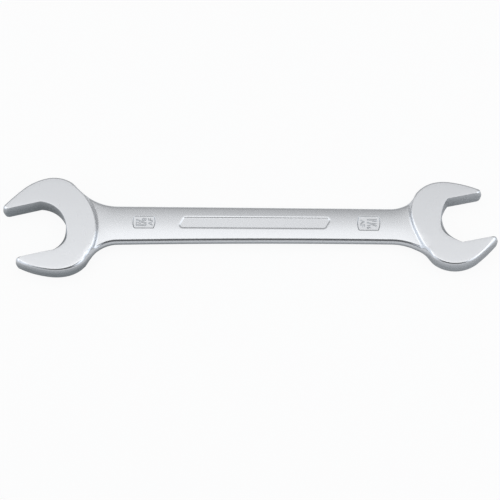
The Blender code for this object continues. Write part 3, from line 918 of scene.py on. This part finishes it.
def inner_points(loop, recesses):
    """Plan points within the inner ring: rows along the steps and recesses, then a plain grid."""
    bands = []
    for head in (LARGE, SMALL):
        curve = back_curve(head)
        for offset in np.linspace(-STEP_OUT, STEP_IN, STEP_ROWS):
            bands.append(curve + offset * inward_ways(curve))
    for recess in recesses:
        bands.append(closed_rows(recess.outline, [row * RECESS_SLOPE for row in RECESS_ROWS]))
    bands = np.concatenate(bands)
    bands = apart_from(bands[inside_loop(bands, loop)], loop, BAND_GAP * BAND_STEP)
    span = max(head.reach + HEAD_SPACING / 2 for head in (LARGE, SMALL))
    width = max(head.upper.half_width for head in (LARGE, SMALL)) + GRID_MARGIN
    shank = grid((-HEAD_SPACING / 2, -width), (HEAD_SPACING / 2, width), SHANK_GRID)
    face = grid((-span - width, -width), (span + width, width), FACE_GRID)
    shank = shank[np.abs(shank[:, 0]) < GRID_CHANGE]
    face = face[np.abs(face[:, 0]) >= GRID_CHANGE]
    fill = [bands]
    for points, step in ((shank, SHANK_GRID), (face, FACE_GRID)):
        points = points[inside_loop(points, loop)]
        points = apart_from(points, loop, GRID_GAP * step)
        fill.append(apart_from(points, bands, GRID_GAP * step))
    return np.concatenate(fill)


def patch(loop, inner):
    """Triangles that fill a closed loop of points through the inner points."""
    plan = np.concatenate((loop, inner)) / MM
    count = len(loop)
    edges = [(i, (i + 1) % count) for i in range(count)]
    result = delaunay_2d_cdt([Vector(p) for p in plan], edges, [], 0, SAME_POINT_MM, True)
    triangles, origins = result[2:4]
    faces = np.array([origin[0] for origin in origins])[np.array(triangles)]
    middles = plan[faces].mean(axis=1)
    return faces[inside_loop(middles, plan[:count])].tolist()


def paint(data, name, values):
    """Keeps one value for each vertex, for the material to read."""
    layer = data.attributes.new(name, "FLOAT", "POINT")
    layer.data.foreach_set("value", values.astype(np.float32))


def vertex_places(data):
    """The places of a mesh's vertices, one row each."""
    places = np.empty(len(data.vertices) * 3)
    data.vertices.foreach_get("co", places)
    return places.reshape(-1, 3)


def blended(data):
    """Evens out the forms round the ends of the shoulders, so that they run into each other."""
    places = vertex_places(data)
    count = len(places)
    edges = np.empty(len(data.edges) * 2, dtype=np.int64)
    data.edges.foreach_get("vertices", edges)
    edges = edges.reshape(-1, 2)
    first, second = np.concatenate((edges, edges[:, ::-1])).T
    away = np.full(count, np.inf)
    for curve in (flank_curve(1), flank_curve(-1)):
        run = running(curve)
        for at in (JUNCTION_PLACE, run[-1] - JUNCTION_PLACE):
            junction = [np.interp(at, run, curve[:, i]) for i in (0, 1)]
            away = np.minimum(away, np.linalg.norm(places[:, :2] - junction, axis=1))
    forged = np.abs(places[:, 2]) < HEAD_THICKNESS / 2 - FACE_TOLERANCE
    weight = (forged * smooth_share(1 - away / JUNCTION_REACH))[:, None] / 2
    pull = 1 / np.linalg.norm(places[first] - places[second], axis=1)
    total = np.bincount(first, pull, count)[:, None]
    for _ in range(JUNCTION_ROUNDS):
        sums = [np.bincount(first, pull * places[second, i], count) for i in range(3)]
        places += weight * (np.stack(sums, axis=1) / total - places)
    data.vertices.foreach_set("co", places.ravel())
    return places


def ring_polygons(start, count, strips):
    """The polygons between rings of count vertices, which follow each other from a start."""
    polygons = []
    for low in range(start, start + strips * count, count):
        for i in range(count):
            j = (i + 1) % count
            polygons.append((low + i, low + j, low + count + j, low + count + i))
    return polygons


def ring_paint():
    """How much painted wall shade each point of the rings shows, from the lowest ring to the
    highest, and how much it is on a rounded edge."""
    forms = [ring_form(level, HEAD_EDGE_RADIUS) for level in LEVELS]
    turns = [turn for _, _, turn in forms]
    above, below, jaw = wall_shade_shares()
    # Painted shade: strongest at the parting line, fading over the lower edge and up the upper wall
    wall = [math.cos(turn) ** LOWER_FADE * below for turn in turns[:0:-1]] + [below]
    for level, (height, _, turn) in enumerate(forms[1:], 1):
        fade = (UPPER_WALL_SHADE_SHARE - 1) * height / forms[WALL_STRIPS][0]
        shown = math.cos(turn) ** UPPER_FADE * (1 + fade)
        # Painted shade on the jaws' flats and throat reaches up to their top edge
        if level < LEVELS[-1]:
            shown = shown + (1 + fade / 2 - shown) * jaw
        wall.append(shown * ((above + below) / 2 if level == 1 else above))
    edge = np.repeat([math.sin(2 * turn) for turn in turns[:0:-1] + turns], len(below))
    return np.concatenate(wall), edge


def forging_mesh():
    """The forging's closed mesh, mirrored about its parting plane but for the size plates."""
    rings = [ring(level) for level in LEVELS]
    loop = rings[-1][:, :2]
    panel = [Recess(panel_outline(), PANEL_DEPTH, LIP_SHARE)]
    marks = [Recess(mark_outline(mark.place, mark.width), MARK_DEPTH, 0) for mark in MARKS]
    inner = inner_points(loop, panel + marks)
    plain = joined_height(inner)
    upper = recessed(inner, plain, panel + marks)
    lower = recessed(inner, plain, panel)
    rows = [np.column_stack((inner, -lower))]
    rows += [row * (1, 1, -1) for row in rings[:0:-1]] + rings
    rows.append(np.column_stack((inner, upper)))

    faces = patch(loop, inner)
    start, count, strips = len(inner), len(loop), 2 * LEVELS[-1]
    top = start + strips * count
    polygons = ring_polygons(start, count, strips)
    polygons += [[top + v for v in face] for face in faces]
    polygons += [[start + v if v < count else v - count for v in reversed(face)] for face in faces]
    data = bpy.data.meshes.new("chromed_forging")
    data.from_pydata(np.concatenate(rows), [], polygons)

    places = blended(data)
    wall, edge = ring_paint()
    none = np.zeros(len(inner))
    # Painted shade: the wall attribute darkens the walls and the steep sides of the size plates
    paint(data, "wall", np.concatenate((none, wall, recess_steepness(inner, marks))))
    paint(data, "edge", np.concatenate((none, edge, none)))
    paint(data, "ground", np.abs(places[:, 2]) > HEAD_THICKNESS / 2 - FACE_TOLERANCE)
    return data


def fit_to_frame(data):
    """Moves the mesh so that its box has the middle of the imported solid's box."""
    places = vertex_places(data)
    middle = (places.min(axis=0) + places.max(axis=0)) / 2
    target = (np.array(cad_box[0]) + np.array(cad_box[1])) / 2
    data.vertices.foreach_set("co", (places + target - middle).ravel())
    return target - middle


def baked(obj):
    """The plain mesh that an object comes to with its modifiers."""
    graph = bpy.context.evaluated_depsgraph_get()
    return bpy.data.meshes.new_from_object(obj.evaluated_get(graph))


def weighted(obj):
    """Bakes normals that keep the flats flat beside the rounded edges."""
    change = obj.modifiers.new("flat_normals", "WEIGHTED_NORMAL")
    change.keep_sharp = True
    data = baked(obj)
    obj.modifiers.clear()
    obj.data = data


def painted(tree, name):
    """The value that each vertex keeps under a name."""
    node = tree.nodes.new("ShaderNodeAttribute")
    node.attribute_name = name
    return node.outputs["Fac"]


def grained(tree, grain):
    """Noise on the object's own coordinates."""
    place = tree.nodes.new("ShaderNodeTexCoord")
    mapping = tree.nodes.new("ShaderNodeMapping")
    mapping.inputs["Scale"].default_value = grain.scale
    tree.links.new(place.outputs["Object"], mapping.inputs["Vector"])
    noise = tree.nodes.new("ShaderNodeTexNoise")
    noise.inputs["Scale"].default_value = 1
    noise.inputs["Detail"].default_value = grain.detail
    noise.inputs["Roughness"].default_value = grain.roughness
    tree.links.new(mapping.outputs["Vector"], noise.inputs["Vector"])
    return noise.outputs["Fac"]


def satin_chrome():
    """Chrome plate: ground faces with fine lines across the tool, a satin shank, walls darkened by
    painted shade, and edges worn smooth."""
    material = bpy.data.materials.new("satin_chrome")
    tree = shader_tree(material)
    shader = tree.nodes.new("ShaderNodeBsdfPrincipled")
    shader.inputs["Metallic"].default_value = 1
    wall, edge, ground = (painted(tree, name) for name in ("wall", "edge", "ground"))
    cloud, speckle, lines = (grained(tree, grain) for grain in (CLOUD, SPECKLE, GRINDING))
    # Painted shade: the wall attribute turns the colour towards the darker wall shade colour
    colour = mixed(tree, "RGBA", wall, FACE_COLOUR, WALL_SHADE_COLOUR)
    colour = mixed(tree, "RGBA", calculated(tree, "MULTIPLY", cloud, CLOUD_SHARE), colour, CLOUD_COLOUR)
    tree.links.new(colour, shader.inputs["Base Color"])
    finish = mixed(tree, "FLOAT", ground, speckle, lines)
    rough = mixed(tree, "FLOAT", ground, SHANK_ROUGHNESS, GROUND_ROUGHNESS)
    rough = mixed(tree, "FLOAT", edge, rough, EDGE_ROUGHNESS)
    change = calculated(tree, "MULTIPLY", calculated(tree, "SUBTRACT", finish, 0.5), ROUGHNESS_RANGE)
    tree.links.new(calculated(tree, "ADD", rough, change), shader.inputs["Roughness"])
    bump = tree.nodes.new("ShaderNodeBump")
    bump.inputs["Strength"].default_value = BUMP_STRENGTH
    bump.inputs["Distance"].default_value = BUMP_DISTANCE
    tree.links.new(finish, bump.inputs["Height"])
    tree.links.new(bump.outputs["Normal"], shader.inputs["Normal"])
    show(tree, "ShaderNodeOutputMaterial", shader)
    return material


def add_forging(material):
    """The finely meshed forging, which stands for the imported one."""
    data = forging_mesh()
    shift = fit_to_frame(data)
    data.shade_smooth()
    data.materials.append(material)
    obj = added("chromed_forging", data)
    weighted(obj)
    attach(obj, "root")
    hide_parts("wrench_forging")
    return shift


def figures_mesh(text, height):
    """The mesh of some raised figures of a height, whose sides slope both ways from the middle."""
    curve = bpy.data.curves.new("figures", "FONT")
    curve.body = text
    curve.size = height / CAP_SHARE
    curve.offset = -FIGURE_THINNING
    curve.bevel_depth = FIGURE_SLOPE
    curve.bevel_resolution = FIGURE_SLOPE_STEPS
    curve.resolution_u = FIGURE_CURVE_STEPS
    obj = added("figures", curve)
    data = baked(obj)
    bpy.data.objects.remove(obj)
    return data


def add_size_mark(mark, shift, material):
    """The raised size figures in the plate beside a head."""
    mesh = bmesh.new()
    side = mark.head.side
    floor = SHANK_FACE - MARK_DEPTH
    for text, *box in mark.figures:
        left, right, foot, top = (value * MM for value in box)
        done = len(mesh.verts)
        mesh.from_mesh(figures_mesh(text, top - foot))
        mesh.verts.ensure_lookup_table()
        fresh = mesh.verts[done:]
        low = [min(vert.co[axis] for vert in fresh) for axis in (0, 1)]
        high = [max(vert.co[axis] for vert in fresh) for axis in (0, 1)]
        for vert in fresh:
            across = left + (right - left) * (vert.co.x - low[0]) / (high[0] - low[0])
            along = foot + (top - foot) * (vert.co.y - low[1]) / (high[1] - low[1])
            vert.co = (mark.place + side * along, MARK_Y - side * across, floor + vert.co.z)
    bmesh.ops.remove_doubles(mesh, verts=mesh.verts, dist=WELD_DISTANCE)
    bmesh.ops.recalc_face_normals(mesh, faces=mesh.faces)
    bmesh.ops.translate(mesh, verts=mesh.verts, vec=shift)
    data = bpy.data.meshes.new(mark.name)
    mesh.to_mesh(data)
    mesh.free()
    # Painted shade on the figures: full at their foot, less on their tops
    rise = vertex_places(data)[:, 2] - shift[2] - floor
    paint(data, "wall", 1 + (FIGURE_TOP_SHADE_SHARE - 1) * np.clip(rise / FIGURE_SLOPE, 0, 1))
    data.materials.append(material)
    obj = added(mark.name, data)
    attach(obj, "root")


bpy.context.scene.view_settings.view_transform = "Standard"
add_camera()
add_world()
add_floor()
for box in SOFTBOXES:
    add_softbox(box)
chrome = satin_chrome()
shift = add_forging(chrome)
for mark in MARKS:
    add_size_mark(mark, shift, chrome)
